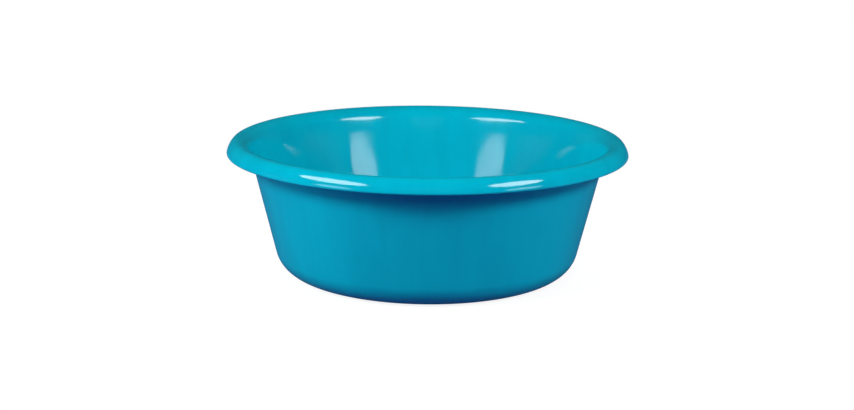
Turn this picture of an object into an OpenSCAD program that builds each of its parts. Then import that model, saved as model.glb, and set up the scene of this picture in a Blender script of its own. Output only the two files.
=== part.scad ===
// Round washing up bowl: one polypropylene moulding with a leaning side wall and a rolled rim.
// Millimetres. The origin is the centre of the circle that the bowl stands on, and +Z is up.
// The moulding is drawn as its ten zones, which meet face to face. Each zone is a ring about
// the Z axis, so it is drawn as a half section, X outwards and Y up, and turned round once.
// The shell's face is the side that holds the water and shows from above. Its back is the other.

/* [Bowl] */
// Diameter over the outside of the rim
bowl_d = 340; // [300:2:400]
// Height from the table to the crest of the rim
bowl_h = 115; // [95:1:150]
// Thickness of the moulding, the same all over
wall_t = 2; // [1.6:0.1:2.8]

/* [Side wall] */
// Lean of the side wall from upright, in degrees
wall_lean = 13.4; // [8:0.2:18]
// Outside radius of the heel, where the side wall turns in to the floor
heel_r = 25; // [15:1:35]

/* [Rim] */
// Extra lean that the side wall gains in the flare under the rim, in degrees
flare_turn = 5.6; // [3:0.2:9]
// Radius of the flare under the rim
flare_r = 135; // [90:5:180]
// Radius of the roll from the flare up to the crest
roll_r = 13; // [9:0.5:17]
// Radius of the crown just outside the crest
crown_r = 6.5; // [4:0.5:9]
// Lean from upright where the crown hands over to the skirt, in degrees
crown_end = 40; // [30:1:50]
// Radius of the skirt, the steep outer face of the rim
skirt_r = 18; // [12:1:24]
// Lean from upright where the skirt ends at the lip, in degrees
skirt_end = 12; // [6:1:20]

/* [Foot] */
// Width of the flat ring that the bowl stands on
foot_w = 8; // [5:0.5:12]
// Height of the floor's underside above the table, inside the foot ring
foot_h = 1.5; // [1:0.1:2.5]
// Radius of each bend in the step up from the foot ring, at mid thickness
step_r = 4; // [3:0.5:6]

/* [Gate mark] */
// Diameter of the shallow well in the middle of the underside
well_d = 14; // [10:1:20]
// Depth of the well
well_depth = 0.6; // [0.4:0.1:0.9]
// Diameter of the stub that the moulding gate leaves in the well
gate_d = 3.2; // [2:0.2:5]
// Height of the stub
gate_h = 0.4; // [0.2:0.1:0.4]

/* [Hidden] */

// Colour of the plastic
turquoise = "#00a8c3";
// Facets in a full turn, for the preview only
turn_facets = 180;
// Flat sides in the half round of the lip
lip_sides = 12;

// Polar angles of the straight down, straight up and straight inward directions in the half section
DOWN = -90;
UP = 90;
INWARD = 180;

// Directions square to the shell's face where the shell leans by that many degrees from upright.
// The first looks in towards the axis, as the side wall does, and the second out, as the skirt does.
function inward(lean) = [-cos(lean), sin(lean)];
function outward(lean) = [cos(lean), sin(lean)];

// Rim, worked out from its outermost point inwards. The lip is a half round of the shell's thickness.
lip_r = wall_t / 2;
crest_to_edge = (crown_r - skirt_r) * cos(crown_end) + (skirt_r - lip_r) * cos(skirt_end) + lip_r;
crest_r = bowl_d / 2 - crest_to_edge;
crown_c = [crest_r, bowl_h - crown_r];
skirt_c = crown_c + (crown_r - skirt_r) * outward(crown_end);
lip_c = skirt_c + (skirt_r - lip_r) * outward(skirt_end);
roll_c = [crest_r, bowl_h - roll_r];
flare_end = wall_lean + flare_turn;
flare_c = roll_c + (roll_r - flare_r) * inward(flare_end);

// Side wall, from the bottom of the flare down to the top of the heel
wall_top_face = flare_c + flare_r * inward(wall_lean);
wall_top_back = flare_c + (flare_r - wall_t) * inward(wall_lean);
back_r_at_heel = wall_top_back[0] - (wall_top_back[1] - heel_r) * tan(wall_lean);
heel_c = [back_r_at_heel - heel_r / cos(wall_lean), heel_r];
wall_foot_back = heel_c - heel_r * inward(wall_lean);
wall_foot_face = heel_c - (heel_r - wall_t) * inward(wall_lean);

// Foot ring and the step up from it to the floor
foot_inner_r = heel_c[0] - foot_w;
step_turn = acos(1 - foot_h / (2 * step_r));
floor_r = foot_inner_r - 2 * step_r * sin(step_turn);
step_outer_r = step_r + wall_t / 2;
step_low_c = [foot_inner_r, step_outer_r];
step_high_c = [floor_r, foot_h + wall_t - step_outer_r];

// Sector of the half section that opens from a corner between two polar angles, up to 90 apart
module sector(corner, reach, from, to) {
    mid = (from + to) / 2;
    translate(corner)
        polygon([[0, 0], for (a = [from, mid, to]) reach * [cos(a), sin(a)]]);
}

// Bent stretch of the shell: its centre, its outer radius and the polar angles of its two ends
module bend(centre, outer_r, from, to) {
    intersection() {
        translate(centre)
            difference() {
                circle(r = outer_r, $fn = turn_facets);
                circle(r = outer_r - wall_t, $fn = turn_facets);
            }
        sector(centre, 2 * outer_r, from, to);
    }
}

// Turns a half section round into a ring of turquoise plastic
module moulded() {
    color(turquoise)
        rotate_extrude($fn = turn_facets)
            children();
}

// Raised flat floor, with the well and stub of the gate in its underside
module floor_panel() {
    floor_top = foot_h + wall_t;
    well_top = foot_h + well_depth;
    moulded()
        polygon([
            [0, floor_top],
            [floor_r, floor_top],
            [floor_r, foot_h],
            [well_d / 2, foot_h],
            [well_d / 2, well_top],
            [gate_d / 2, well_top],
            [gate_d / 2, well_top - gate_h],
            [0, well_top - gate_h]
        ]);
}

// Edge of the floor, turned down to meet the foot ring
module floor_edge() {
    moulded()
        bend(step_high_c, step_outer_r, UP - step_turn, UP);
}

// Flat ring that the bowl stands on, with its inner edge turned up to meet the floor
module foot_ring() {
    moulded() {
        translate([foot_inner_r, 0])
            square([foot_w, wall_t]);
        bend(step_low_c, step_outer_r, DOWN - step_turn, DOWN);
    }
}

// Rounded turn from the foot ring up to the side wall
module heel() {
    moulded()
        bend(heel_c, heel_r, DOWN, -wall_lean);
}

// Straight wall that leans out all the way up
module side_wall() {
    moulded()
        polygon([wall_foot_face, wall_foot_back, wall_top_back, wall_top_face]);
}

// Gentle flare between the side wall and the rim
module flare() {
    moulded()
        bend(flare_c, flare_r, INWARD - flare_end, INWARD - wall_lean);
}

// Inner half of the rim, from the flare up to the crest
module rim_roll() {
    moulded()
        bend(roll_c, roll_r, UP, INWARD - flare_end);
}

// Rounded top of the rim, from the crest outwards
module rim_crown() {
    moulded()
        bend(crown_c, crown_r, crown_end, UP);
}

// Steep outer face of the rim, hanging clear of the side wall
module rim_skirt() {
    moulded()
        bend(skirt_c, skirt_r, skirt_end, crown_end);
}

// Half round edge along the bottom of the skirt, drawn with short flat sides
module lip() {
    side_turn = 180 / lip_sides;
    moulded()
        translate(lip_c)
            polygon([for (i = [0:lip_sides]) lip_r * outward(skirt_end - i * side_turn)]);
}

floor_panel();
floor_edge();
foot_ring();
heel();
side_wall();
flare();
rim_roll();
rim_crown();
rim_skirt();
lip();
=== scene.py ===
"""Studio scene of a round washing up bowl: one glossy turquoise moulding on a plain white floor.

Metres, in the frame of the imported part: the origin is the centre of the foot ring, +Z is up,
and the photograph looks along +Y. The bowl is one seamless mesh. It is turned from the same
half section as the CAD zones, X outwards and Y up, and stands for all of them. The shell's
face is the side that holds the water and shows from above. Its back is the other.
"""
from math import acos, ceil, cos, degrees, pi, radians, sin, tan

import bpy
from mathutils import Matrix, Vector


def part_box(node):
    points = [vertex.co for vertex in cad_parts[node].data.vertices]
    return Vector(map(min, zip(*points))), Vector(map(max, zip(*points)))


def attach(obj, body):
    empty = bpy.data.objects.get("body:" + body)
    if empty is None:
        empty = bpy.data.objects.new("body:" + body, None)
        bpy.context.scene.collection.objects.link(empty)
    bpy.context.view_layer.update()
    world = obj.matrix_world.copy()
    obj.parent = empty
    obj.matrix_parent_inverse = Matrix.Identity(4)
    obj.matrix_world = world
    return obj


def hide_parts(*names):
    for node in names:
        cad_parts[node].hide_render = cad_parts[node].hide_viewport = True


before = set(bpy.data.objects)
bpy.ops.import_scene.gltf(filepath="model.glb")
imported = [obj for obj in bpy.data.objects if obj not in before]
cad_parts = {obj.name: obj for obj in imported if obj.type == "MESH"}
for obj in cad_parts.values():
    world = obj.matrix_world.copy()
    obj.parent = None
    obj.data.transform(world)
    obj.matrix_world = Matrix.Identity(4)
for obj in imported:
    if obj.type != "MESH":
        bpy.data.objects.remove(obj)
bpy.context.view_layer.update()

MM = 0.001

# Sizes that the frame gives
RIM_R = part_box("lip")[1].x
CREST_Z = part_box("rim_crown")[1].z
FLOOR_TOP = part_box("floor_panel")[1].z
FOOT_OUTER_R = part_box("foot_ring")[1].x
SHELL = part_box("foot_ring")[1].z
UNDERSIDE = FLOOR_TOP - SHELL

# Shape of the half section, with the same sizes as the CAD source. Leans are in degrees from upright.
WALL_LEAN = 13.4
HEEL_R = 25 * MM
FLARE_TURN = 5.6
FLARE_R = 135 * MM
ROLL_R = 13 * MM
CROWN_R = 6.5 * MM
CROWN_END = 40
SKIRT_R = 18 * MM
SKIRT_END = 12
FOOT_W = 8 * MM
STEP_R = 4 * MM
WELL_R = 7 * MM
WELL_DEPTH = 0.6 * MM
GATE_R = 1.6 * MM
GATE_H = 0.4 * MM
GATE_ROUNDING = 0.15 * MM

# Polar angles of the straight down, straight up and straight inward directions in the half section
DOWN = -90
UP = 90
INWARD = 180

# Fineness of the mesh: lengths along the section, degrees of a bend, and sides of a full turn
BEND_STEP = 0.7 * MM
FLARE_STEP = 2 * MM
STRAIGHT_STEP = 4 * MM
BEND_TURN = 6
LIP_TURN = 15
CORNER_STEPS = 4
TURN_SIDES = 288
SAME_POINT = 0.01 * MM

# Colour of the plastic: two close turquoises that streaks and clouds of the melt mix
DEEP_TURQUOISE = (0.0, 0.383, 0.54)
CLEAR_TURQUOISE = (0.0, 0.417, 0.58)
COLOUR_NOISE = (0.35, 0.65)
STREAKS_ROUND = 9
STREAKS_ALONG = 12
STREAK_SHARE = 0.6
STREAKS_START = (35 * MM, 110 * MM)
CLOUD_SCALE = 14

# Gloss of the plastic, as roughness, and how much of the mirror is left edge on
PLASTIC_IOR = 1.49
POLISHED = 0.05
LESS_POLISHED = 0.08
POLISH_NOISE = (0.35, 0.7)
POLISH_SCALE = 60
SATIN_INSIDE = 0.025
INNER_WALL = (-0.95, -0.7)
FULL_MIRROR = 0.5
SPOILT_MIRROR = 0.02
GRAZING = (0.65, 0.95)

# Scuffs on the lowest millimetre of the foot ring
WORN_TURQUOISE = (0.06, 0.46, 0.60)
WORN_SHARE = 0.6
SCUFFED = 0.45
SCUFFS_END = (0.2 * MM, 1.2 * MM)
SCRATCH_NOISE = (0.50, 0.62)
SCRATCHES_ROUND = 25
SCRATCHES_ACROSS = 2500
SCRATCH_DEPTH = 0.01 * MM

# Fine relief of the plastic
WAVE_SCALE = 35
WAVE_HEIGHT = 0.05 * MM
PEEL_SCALE = 900
PEEL_HEIGHT = 0.0015 * MM
TOOL_STEP = 1.2 * MM
TOOL_MARK_HEIGHT = 0.004 * MM

# Camera, fitted to the outline in the photograph
IMAGE_W = 854
CAMERA_ELEVATION = 13.487
CAMERA_DISTANCE = 1.365
CAMERA_TARGET = Vector((0, 0, 0.051))
CAMERA_ROLL = 0.566
FOCAL_PIXELS = 1587.4
TARGET_BELOW_CENTRE = 5.8
SENSOR_W = 36
CLIP_START = 0.05
CLIP_END = 50

# Backdrop and floor. Strengths are shares of white, and spans are distances from the bowl's axis.
WHITE = (1, 1, 1, 1)
BACKDROP_IN_GLOSS = 0.01
FLOOR_R = 12
FLOOR_SIDES = 128
FLOOR_DROP = 0.1 * MM
FLOOR_BOUNCE = (0.04, 0.09, 0.27)
FLOOR_LIT = 0.22
FLOOR_GLOW = 0.86
SHADOW_SPAN = (0.16, 0.5)
UNDERSIDE_GLOW = 0.55
UNDERSIDE_SPAN = (0.97 * FOOT_OUTER_R, 1.15 * FOOT_OUTER_R)

# Dim light from all round, and the colour of the lamps
FILL = 0.03
FILL_COLOR = (0.3, 0.6, 1.0)
LAMP_COLOR = (1.0, 0.98, 0.93)

# Lamps: name, azimuth and elevation in degrees, distance, width and height in metres, and watts.
# The soft ones only shade the bowl. The mirrored ones only show in its gloss: the high pair on
# the rim, and the low pair as the two pale patches on the inner wall, each on the other side.
SOFT_LIGHTS = [
    ("main_right", 52.5, 28.5, 1.37, 0.47, 0.26, 10.4),
    ("main_left", -52.5, 28.5, 1.40, 0.47, 0.30, 13.2),
    ("side_right", 85, 7, 1.5, 0.8, 0.35, 3.9),
    ("side_left", -85, 7, 1.5, 0.8, 0.35, 7.6),
    ("front", 0, 28, 1.5, 0.6, 0.4, 4.6),
    ("back", 180, 28, 1.5, 1.4, 0.6, 9.0),
    ("back_right", 140, 10, 1.6, 0.8, 0.4, 3.0),
    ("back_left", -140, 10, 1.6, 0.8, 0.4, 3.0),
    ("overhead", 0, 88, 1.6, 1.2, 1.2, 0.4),
]
MIRRORED_LIGHTS = [
    ("high_right", 53.5, 34.5, 1.37, 0.70, 0.40, 6.8),
    ("high_left", -57.5, 34.5, 1.37, 0.94, 0.38, 8.4),
    ("low_right", 51, 12.4, 1.16, 0.42, 0.12, 0.61),
    ("low_left", -50, 12.5, 1.16, 0.46, 0.12, 0.58),
]


def polar(angle):
    """Unit vector of the half section at a polar angle in degrees."""
    return Vector((cos(radians(angle)), sin(radians(angle))))


def arc(centre, radius, start, end, longest=BEND_STEP, widest=BEND_TURN):
    """Points on an arc of the half section, from one polar angle to another, in degrees."""
    turn = abs(end - start)
    steps = max(ceil(turn / widest), ceil(radians(turn) * radius / longest), 2)
    return [centre + radius * polar(start + (end - start) * i / steps) for i in range(steps + 1)]


def straight(start, end, longest=STRAIGHT_STEP):
    """Points on a straight stretch of the half section, both ends included."""
    steps = max(ceil((end - start).length / longest), 1)
    return [start.lerp(end, i / steps) for i in range(steps + 1)]


def rounded(corners, radius):
    """Polyline with each inner corner rounded to the same small radius."""
    points = [corners[0]]
    for before, here, after in zip(corners, corners[1:], corners[2:]):
        back = (before - here).normalized()
        on = (after - here).normalized()
        half = back.angle(on) / 2
        centre = here + (back + on).normalized() * radius / sin(half)
        first = here + back * radius / tan(half) - centre
        last = here + on * radius / tan(half) - centre
        for i in range(CORNER_STEPS + 1):
            points.append(centre + radius * first.lerp(last, i / CORNER_STEPS).normalized())
    points.append(corners[-1])
    return points


def section():
    """Closed half section of the bowl: out along the face, round the lip and home along the back."""
    # The rim, worked out from its outermost point inwards
    lip_r = SHELL / 2
    crest_to_edge = (CROWN_R - SKIRT_R) * cos(radians(CROWN_END))
    crest_to_edge += (SKIRT_R - lip_r) * cos(radians(SKIRT_END)) + lip_r
    crest_r = RIM_R - crest_to_edge
    crown_c = Vector((crest_r, CREST_Z - CROWN_R))
    skirt_c = crown_c + (CROWN_R - SKIRT_R) * polar(CROWN_END)
    lip_c = skirt_c + (SKIRT_R - lip_r) * polar(SKIRT_END)
    roll_c = Vector((crest_r, CREST_Z - ROLL_R))
    flare_start = INWARD - WALL_LEAN
    flare_end = flare_start - FLARE_TURN
    flare_c = roll_c + (ROLL_R - FLARE_R) * polar(flare_end)

    # The heel, the foot ring and the step up from it to the floor
    heel_c = Vector((FOOT_OUTER_R, HEEL_R))
    foot_inner_r = FOOT_OUTER_R - FOOT_W
    step_turn = degrees(acos(1 - UNDERSIDE / (2 * STEP_R)))
    floor_r = foot_inner_r - 2 * STEP_R * sin(radians(step_turn))
    step_outer_r = STEP_R + SHELL / 2
    step_inner_r = STEP_R - SHELL / 2
    step_low_c = Vector((foot_inner_r, step_outer_r))
    step_high_c = Vector((floor_r, FLOOR_TOP - step_outer_r))

    face = straight(Vector((0, FLOOR_TOP)), Vector((floor_r, FLOOR_TOP)))
    face += arc(step_high_c, step_outer_r, UP, UP - step_turn)
    face += arc(step_low_c, step_inner_r, DOWN - step_turn, DOWN)
    face += arc(heel_c, HEEL_R - SHELL, DOWN, -WALL_LEAN)
    face += arc(flare_c, FLARE_R, flare_start, flare_end, longest=FLARE_STEP)
    face += arc(roll_c, ROLL_R, flare_end, UP)
    face += arc(crown_c, CROWN_R, UP, CROWN_END)
    face += arc(skirt_c, SKIRT_R, CROWN_END, SKIRT_END)

    lip = arc(lip_c, lip_r, SKIRT_END, SKIRT_END - 180, widest=LIP_TURN)

    back = arc(skirt_c, SKIRT_R - SHELL, SKIRT_END, CROWN_END)
    back += arc(crown_c, CROWN_R - SHELL, CROWN_END, UP)
    back += arc(roll_c, ROLL_R - SHELL, UP, flare_end)
    back += arc(flare_c, FLARE_R - SHELL, flare_end, flare_start, longest=FLARE_STEP)
    back += arc(heel_c, HEEL_R, -WALL_LEAN, DOWN)
    back += arc(step_low_c, step_outer_r, DOWN, DOWN - step_turn)
    back += arc(step_high_c, step_inner_r, UP - step_turn, UP)

    # The gate's well and stub, from a point on the underside well outside them
    well_top = UNDERSIDE + WELL_DEPTH
    gate = rounded(
        [
            Vector((4 * WELL_R, UNDERSIDE)),
            Vector((WELL_R, UNDERSIDE)),
            Vector((WELL_R, well_top)),
            Vector((GATE_R, well_top)),
            Vector((GATE_R, well_top - GATE_H)),
            Vector((0, well_top - GATE_H)),
        ],
        GATE_ROUNDING,
    )

    points = []
    for point in face + lip + back + gate:
        if not points or (point - points[-1]).length > SAME_POINT:
            points.append(point)
    return points


def split_long(points):
    """The same polyline with extra points where two neighbours lie far apart."""
    fine = [points[0]]
    for before, here in zip(points, points[1:]):
        fine += straight(before, here)[1:]
    return fine


def turned(name, points):
    """Closed mesh of revolution about Z from a half section that starts and ends on the axis."""
    verts = []
    rings = []
    for point in points:
        if point.x < SAME_POINT:
            rings.append([len(verts)] * TURN_SIDES)
            verts.append((0, 0, point.y))
            continue
        rings.append(list(range(len(verts), len(verts) + TURN_SIDES)))
        for i in range(TURN_SIDES):
            angle = 2 * pi * i / TURN_SIDES
            verts.append((point.x * cos(angle), point.x * sin(angle), point.y))
    faces = []
    for near, far in zip(rings, rings[1:]):
        for i in range(TURN_SIDES):
            j = (i + 1) % TURN_SIDES
            corners = [near[i], far[i], far[j], near[j]]
            # A ring that is one point on the axis gives triangles
            faces.append(list(dict.fromkeys(corners)))
    mesh = bpy.data.meshes.new(name)
    mesh.from_pydata(verts, [], faces)
    mesh.validate()
    mesh.update()
    for polygon in mesh.polygons:
        polygon.use_smooth = True
    piece = bpy.data.objects.new(name, mesh)
    bpy.context.scene.collection.objects.link(piece)
    return piece


def add_node(tree, kind, inputs=None, **settings):
    """New shader node. An input is given as a plain value, or as another node's output socket."""
    node = tree.nodes.new(kind)
    for setting, value in settings.items():
        setattr(node, setting, value)
    for socket, value in (inputs or {}).items():
        if isinstance(value, bpy.types.NodeSocket):
            tree.links.new(value, node.inputs[socket])
        else:
            node.inputs[socket].default_value = value
    return node


def math_node(tree, operation, first, second=0.0):
    """Result socket of a maths node with two inputs."""
    return add_node(tree, "ShaderNodeMath", {0: first, 1: second}, operation=operation).outputs[0]


def vector_value(tree, operation, first, second=(0, 0, 0)):
    """Number that a vector maths node gives, such as a length or a dot product."""
    node = add_node(tree, "ShaderNodeVectorMath", {0: first, 1: second}, operation=operation)
    return node.outputs["Value"]


def combined(tree, x, y, z=0.0):
    """Vector socket made of three numbers or sockets."""
    return add_node(tree, "ShaderNodeCombineXYZ", {"X": x, "Y": y, "Z": z}).outputs[0]


def ramp(tree, value, span, low, high):
    """Value carried from a span of its own to another range, with soft ends, and held beyond them."""
    sockets = {"Value": value, "From Min": span[0], "From Max": span[1], "To Min": low, "To Max": high}
    return add_node(tree, "ShaderNodeMapRange", sockets, interpolation_type="SMOOTHSTEP").outputs[0]


def noise(tree, place, scale, detail, distortion=0.0):
    """Value socket of a noise texture, which mostly lies between 0.3 and 0.7."""
    sockets = {"Vector": place, "Scale": scale, "Detail": detail, "Distortion": distortion}
    return add_node(tree, "ShaderNodeTexNoise", sockets).outputs[0]


def blend(tree, share, first, second):
    """Colour socket that goes from the first colour to the second as the share goes from 0 to 1."""
    node = add_node(tree, "ShaderNodeMix", {"Factor": share}, data_type="RGBA")
    for socket, colour in (("A", first), ("B", second)):
        if isinstance(colour, bpy.types.NodeSocket):
            tree.links.new(colour, node.inputs[socket])
        else:
            node.inputs[socket].default_value = (*colour, 1)
    return node.outputs["Result"]


def turquoise_plastic():
    """Glossy injection moulded polypropylene, with its flow marks, orange peel, tool marks and scuffs."""
    material = bpy.data.materials.new("turquoise_plastic")
    material.use_nodes = True
    tree = material.node_tree
    bsdf = tree.nodes["Principled BSDF"]
    bsdf.inputs["IOR"].default_value = PLASTIC_IOR

    # Places on the bowl: distance from the axis, height, and the way out from the axis
    place = add_node(tree, "ShaderNodeTexCoord").outputs["Object"]
    axes = add_node(tree, "ShaderNodeSeparateXYZ", {0: place}).outputs
    height = axes["Z"]
    flat = combined(tree, axes["X"], axes["Y"])
    radius = vector_value(tree, "LENGTH", flat)
    outward = add_node(tree, "ShaderNodeVectorMath", {0: flat}, operation="NORMALIZE").outputs[0]
    way = add_node(tree, "ShaderNodeSeparateXYZ", {0: outward}).outputs

    # Streaks that the melt leaves as it runs out from the gate and up the wall, and slow clouds
    streak_place = combined(
        tree,
        math_node(tree, "MULTIPLY", way["X"], STREAKS_ROUND),
        math_node(tree, "MULTIPLY", way["Y"], STREAKS_ROUND),
        math_node(tree, "MULTIPLY", math_node(tree, "ADD", radius, height), STREAKS_ALONG),
    )
    streaks = noise(tree, streak_place, 1.0, detail=3.0, distortion=0.4)
    clouds = noise(tree, place, CLOUD_SCALE, detail=2.0)
    streak_share = ramp(tree, radius, STREAKS_START, 0.0, STREAK_SHARE)
    cloud_share = math_node(tree, "SUBTRACT", 1.0, streak_share)
    streak_part = math_node(tree, "MULTIPLY", streaks, streak_share)
    cloud_part = math_node(tree, "MULTIPLY", clouds, cloud_share)
    shade = ramp(tree, math_node(tree, "ADD", streak_part, cloud_part), COLOUR_NOISE, 0.0, 1.0)

    # Scuffs where the bowl slides on the sink: fine scratches round the foot ring
    scratch_place = combined(
        tree,
        math_node(tree, "MULTIPLY", way["X"], SCRATCHES_ROUND),
        math_node(tree, "MULTIPLY", way["Y"], SCRATCHES_ROUND),
        math_node(tree, "MULTIPLY", radius, SCRATCHES_ACROSS),
    )
    scratches = ramp(tree, noise(tree, scratch_place, 1.0, detail=4.0), SCRATCH_NOISE, 0.0, 1.0)
    on_foot = ramp(tree, height, SCUFFS_END, 1.0, 0.0)
    scuffs = math_node(tree, "MULTIPLY", scratches, on_foot)

    colour = blend(tree, shade, DEEP_TURQUOISE, CLEAR_TURQUOISE)
    worn_share = math_node(tree, "MULTIPLY", scuffs, WORN_SHARE)
    tree.links.new(blend(tree, worn_share, colour, WORN_TURQUOISE), bsdf.inputs["Base Color"])

    # Gloss: a moulded polish that varies a little, more satin on the inner wall and dull under the foot
    patches = noise(tree, place, POLISH_SCALE, detail=3.0)
    polish = ramp(tree, patches, POLISH_NOISE, POLISHED, LESS_POLISHED)
    normal = add_node(tree, "ShaderNodeNewGeometry").outputs["True Normal"]
    faces_out = vector_value(tree, "DOT_PRODUCT", normal, outward)
    satin = ramp(tree, faces_out, INNER_WALL, SATIN_INSIDE, 0.0)
    dull = math_node(tree, "MULTIPLY", scuffs, SCUFFED - POLISHED)
    moulded = math_node(tree, "ADD", polish, satin)
    tree.links.new(math_node(tree, "ADD", moulded, dull), bsdf.inputs["Roughness"])

    # Edge on, the fine texture of the moulding spoils the mirror and leaves the plain colour
    facing = add_node(tree, "ShaderNodeLayerWeight").outputs["Facing"]
    mirror = ramp(tree, facing, GRAZING, FULL_MIRROR, SPOILT_MIRROR)
    tree.links.new(mirror, bsdf.inputs["Specular IOR Level"])

    # Relief: slow waviness of the mould, orange peel, scratches, and lathe rings on the underside
    turns = math_node(tree, "MULTIPLY", radius, 2 * pi / TOOL_STEP)
    rings = math_node(tree, "SINE", turns)
    below = ramp(tree, height, (UNDERSIDE, FLOOR_TOP), 1.0, 0.0)
    relief = [
        (noise(tree, place, WAVE_SCALE, detail=1.0), WAVE_HEIGHT),
        (noise(tree, place, PEEL_SCALE, detail=2.0), PEEL_HEIGHT),
        (math_node(tree, "MULTIPLY", rings, below), TOOL_MARK_HEIGHT),
        (scuffs, -SCRATCH_DEPTH),
    ]
    total = 0.0
    for pattern, depth in relief:
        total = math_node(tree, "ADD", total, math_node(tree, "MULTIPLY", pattern, depth))
    bump = add_node(tree, "ShaderNodeBump", {"Height": total, "Distance": 1.0, "Strength": 1.0})
    tree.links.new(bump.outputs[0], bsdf.inputs["Normal"])
    return material


def softbox(name, azimuth, elevation, distance, width, height, watts):
    """Rectangular lamp that faces the bowl. Azimuth runs from the camera's side, -Y, towards +X."""
    lamp = bpy.data.lights.new(name, "AREA")
    lamp.shape = "RECTANGLE"
    lamp.size = width
    lamp.size_y = height
    lamp.energy = watts
    lamp.color = LAMP_COLOR
    light = bpy.data.objects.new(name, lamp)
    a = radians(azimuth)
    e = radians(elevation)
    way = Vector((sin(a) * cos(e), -cos(a) * cos(e), sin(e)))
    light.location = Vector((0, 0, CREST_Z)) + distance * way
    light.rotation_mode = "QUATERNION"
    light.rotation_quaternion = way.to_track_quat("Z", "Y")
    light.visible_camera = False
    bpy.context.scene.collection.objects.link(light)
    return light


def shared_nodes(material_or_world):
    """Empty node tree of a floor or world, with its light path and how much of the white backdrop shows.

    The camera and what shows through things see all of it. The gloss sees a little, as in the photograph.
    """
    material_or_world.use_nodes = True
    tree = material_or_world.node_tree
    tree.nodes.clear()
    path = add_node(tree, "ShaderNodeLightPath").outputs
    straight_on = math_node(tree, "MAXIMUM", path["Is Camera Ray"], path["Is Transmission Ray"])
    mirrored = math_node(tree, "MULTIPLY", path["Is Glossy Ray"], BACKDROP_IN_GLOSS)
    return tree, path, math_node(tree, "MAXIMUM", straight_on, mirrored)


def mixed(tree, share, first, second):
    """Shader that goes from the first to the second as the share goes from 0 to 1."""
    return add_node(tree, "ShaderNodeMixShader", {0: share, 1: first, 2: second}).outputs[0]


def added(tree, first, second):
    """Sum of two shaders."""
    return add_node(tree, "ShaderNodeAddShader", {0: first, 1: second}).outputs[0]


def diffuse(tree, colour):
    """Matt shader of one colour."""
    return add_node(tree, "ShaderNodeBsdfDiffuse", {"Color": (*colour, 1)}).outputs[0]


def glowing(tree, strength):
    """White shader that gives off light."""
    return add_node(tree, "ShaderNodeEmission", {"Color": WHITE, "Strength": strength}).outputs[0]


def studio_floor():
    """Plain white floor, which keeps a soft shadow for the camera and bounces little light back.

    From below it is clear, and under the foot it glows a little, so that the underside can be seen.
    """
    bpy.ops.mesh.primitive_circle_add(
        vertices=FLOOR_SIDES,
        radius=FLOOR_R,
        fill_type="NGON",
        location=(0, 0, -FLOOR_DROP),
    )
    floor = bpy.context.object
    floor.name = "studio_floor"
    material = bpy.data.materials.new("studio_floor")
    tree, path, seen = shared_nodes(material)
    place = add_node(tree, "ShaderNodeNewGeometry").outputs
    reach = vector_value(tree, "LENGTH", place["Position"])

    # White away from the bowl, and lit by the lamps near it, where the shadow falls
    near = ramp(tree, reach, SHADOW_SPAN, 1.0, 0.0)
    shadowed = added(tree, diffuse(tree, (FLOOR_LIT, FLOOR_LIT, FLOOR_LIT)), glowing(tree, FLOOR_GLOW))
    for_camera = mixed(tree, near, glowing(tree, seen), shadowed)

    # What the bowl gets back from the floor
    under_foot = ramp(tree, reach, UNDERSIDE_SPAN, UNDERSIDE_GLOW, 0.0)
    light_table = math_node(tree, "MULTIPLY", under_foot, path["Is Diffuse Ray"])
    upward = glowing(tree, math_node(tree, "ADD", seen, light_table))
    for_bowl = added(tree, diffuse(tree, FLOOR_BOUNCE), upward)

    above = mixed(tree, path["Is Camera Ray"], for_bowl, for_camera)
    clear = add_node(tree, "ShaderNodeBsdfTransparent", {"Color": WHITE}).outputs[0]
    surface = mixed(tree, place["Backfacing"], above, clear)
    add_node(tree, "ShaderNodeOutputMaterial", {"Surface": surface})
    floor.data.materials.append(material)


def studio_world():
    """White surroundings for the camera, and a dim even fill for the bowl."""
    world = bpy.data.worlds.new("studio")
    bpy.context.scene.world = world
    tree, _, seen = shared_nodes(world)
    fill = add_node(tree, "ShaderNodeBackground", {"Color": (*FILL_COLOR, 1), "Strength": FILL}).outputs[0]
    white = add_node(tree, "ShaderNodeBackground", {"Color": WHITE, "Strength": 1.0}).outputs[0]
    add_node(tree, "ShaderNodeOutputWorld", {"Surface": mixed(tree, seen, fill, white)})


def photo_camera():
    """Camera at the photograph's viewing angle, with its small roll."""
    data = bpy.data.cameras.new("photo_camera")
    data.sensor_width = SENSOR_W
    data.lens = FOCAL_PIXELS * SENSOR_W / IMAGE_W
    data.shift_y = TARGET_BELOW_CENTRE / IMAGE_W
    data.clip_start = CLIP_START
    data.clip_end = CLIP_END
    camera = bpy.data.objects.new("photo_camera", data)
    bpy.context.scene.collection.objects.link(camera)
    e = radians(CAMERA_ELEVATION)
    away = Vector((0, -cos(e), sin(e)))
    upright = away.to_track_quat("Z", "Y").to_matrix()
    roll = Matrix.Rotation(radians(CAMERA_ROLL), 3, "Z")
    camera.location = CAMERA_TARGET + CAMERA_DISTANCE * away
    camera.rotation_mode = "QUATERNION"
    camera.rotation_quaternion = (upright @ roll).to_quaternion()
    bpy.context.scene.camera = camera


bowl = turned("bowl", split_long(section()))
bowl.data.materials.append(turquoise_plastic())
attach(bowl, "root")
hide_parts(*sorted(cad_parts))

studio_floor()
studio_world()
for lamp_row in SOFT_LIGHTS:
    softbox(*lamp_row).visible_glossy = False
for lamp_row in MIRRORED_LIGHTS:
    light = softbox(*lamp_row)
    light.data.shape = "ELLIPSE"
    light.visible_diffuse = False
photo_camera()
bpy.context.scene.view_settings.view_transform = "Standard"
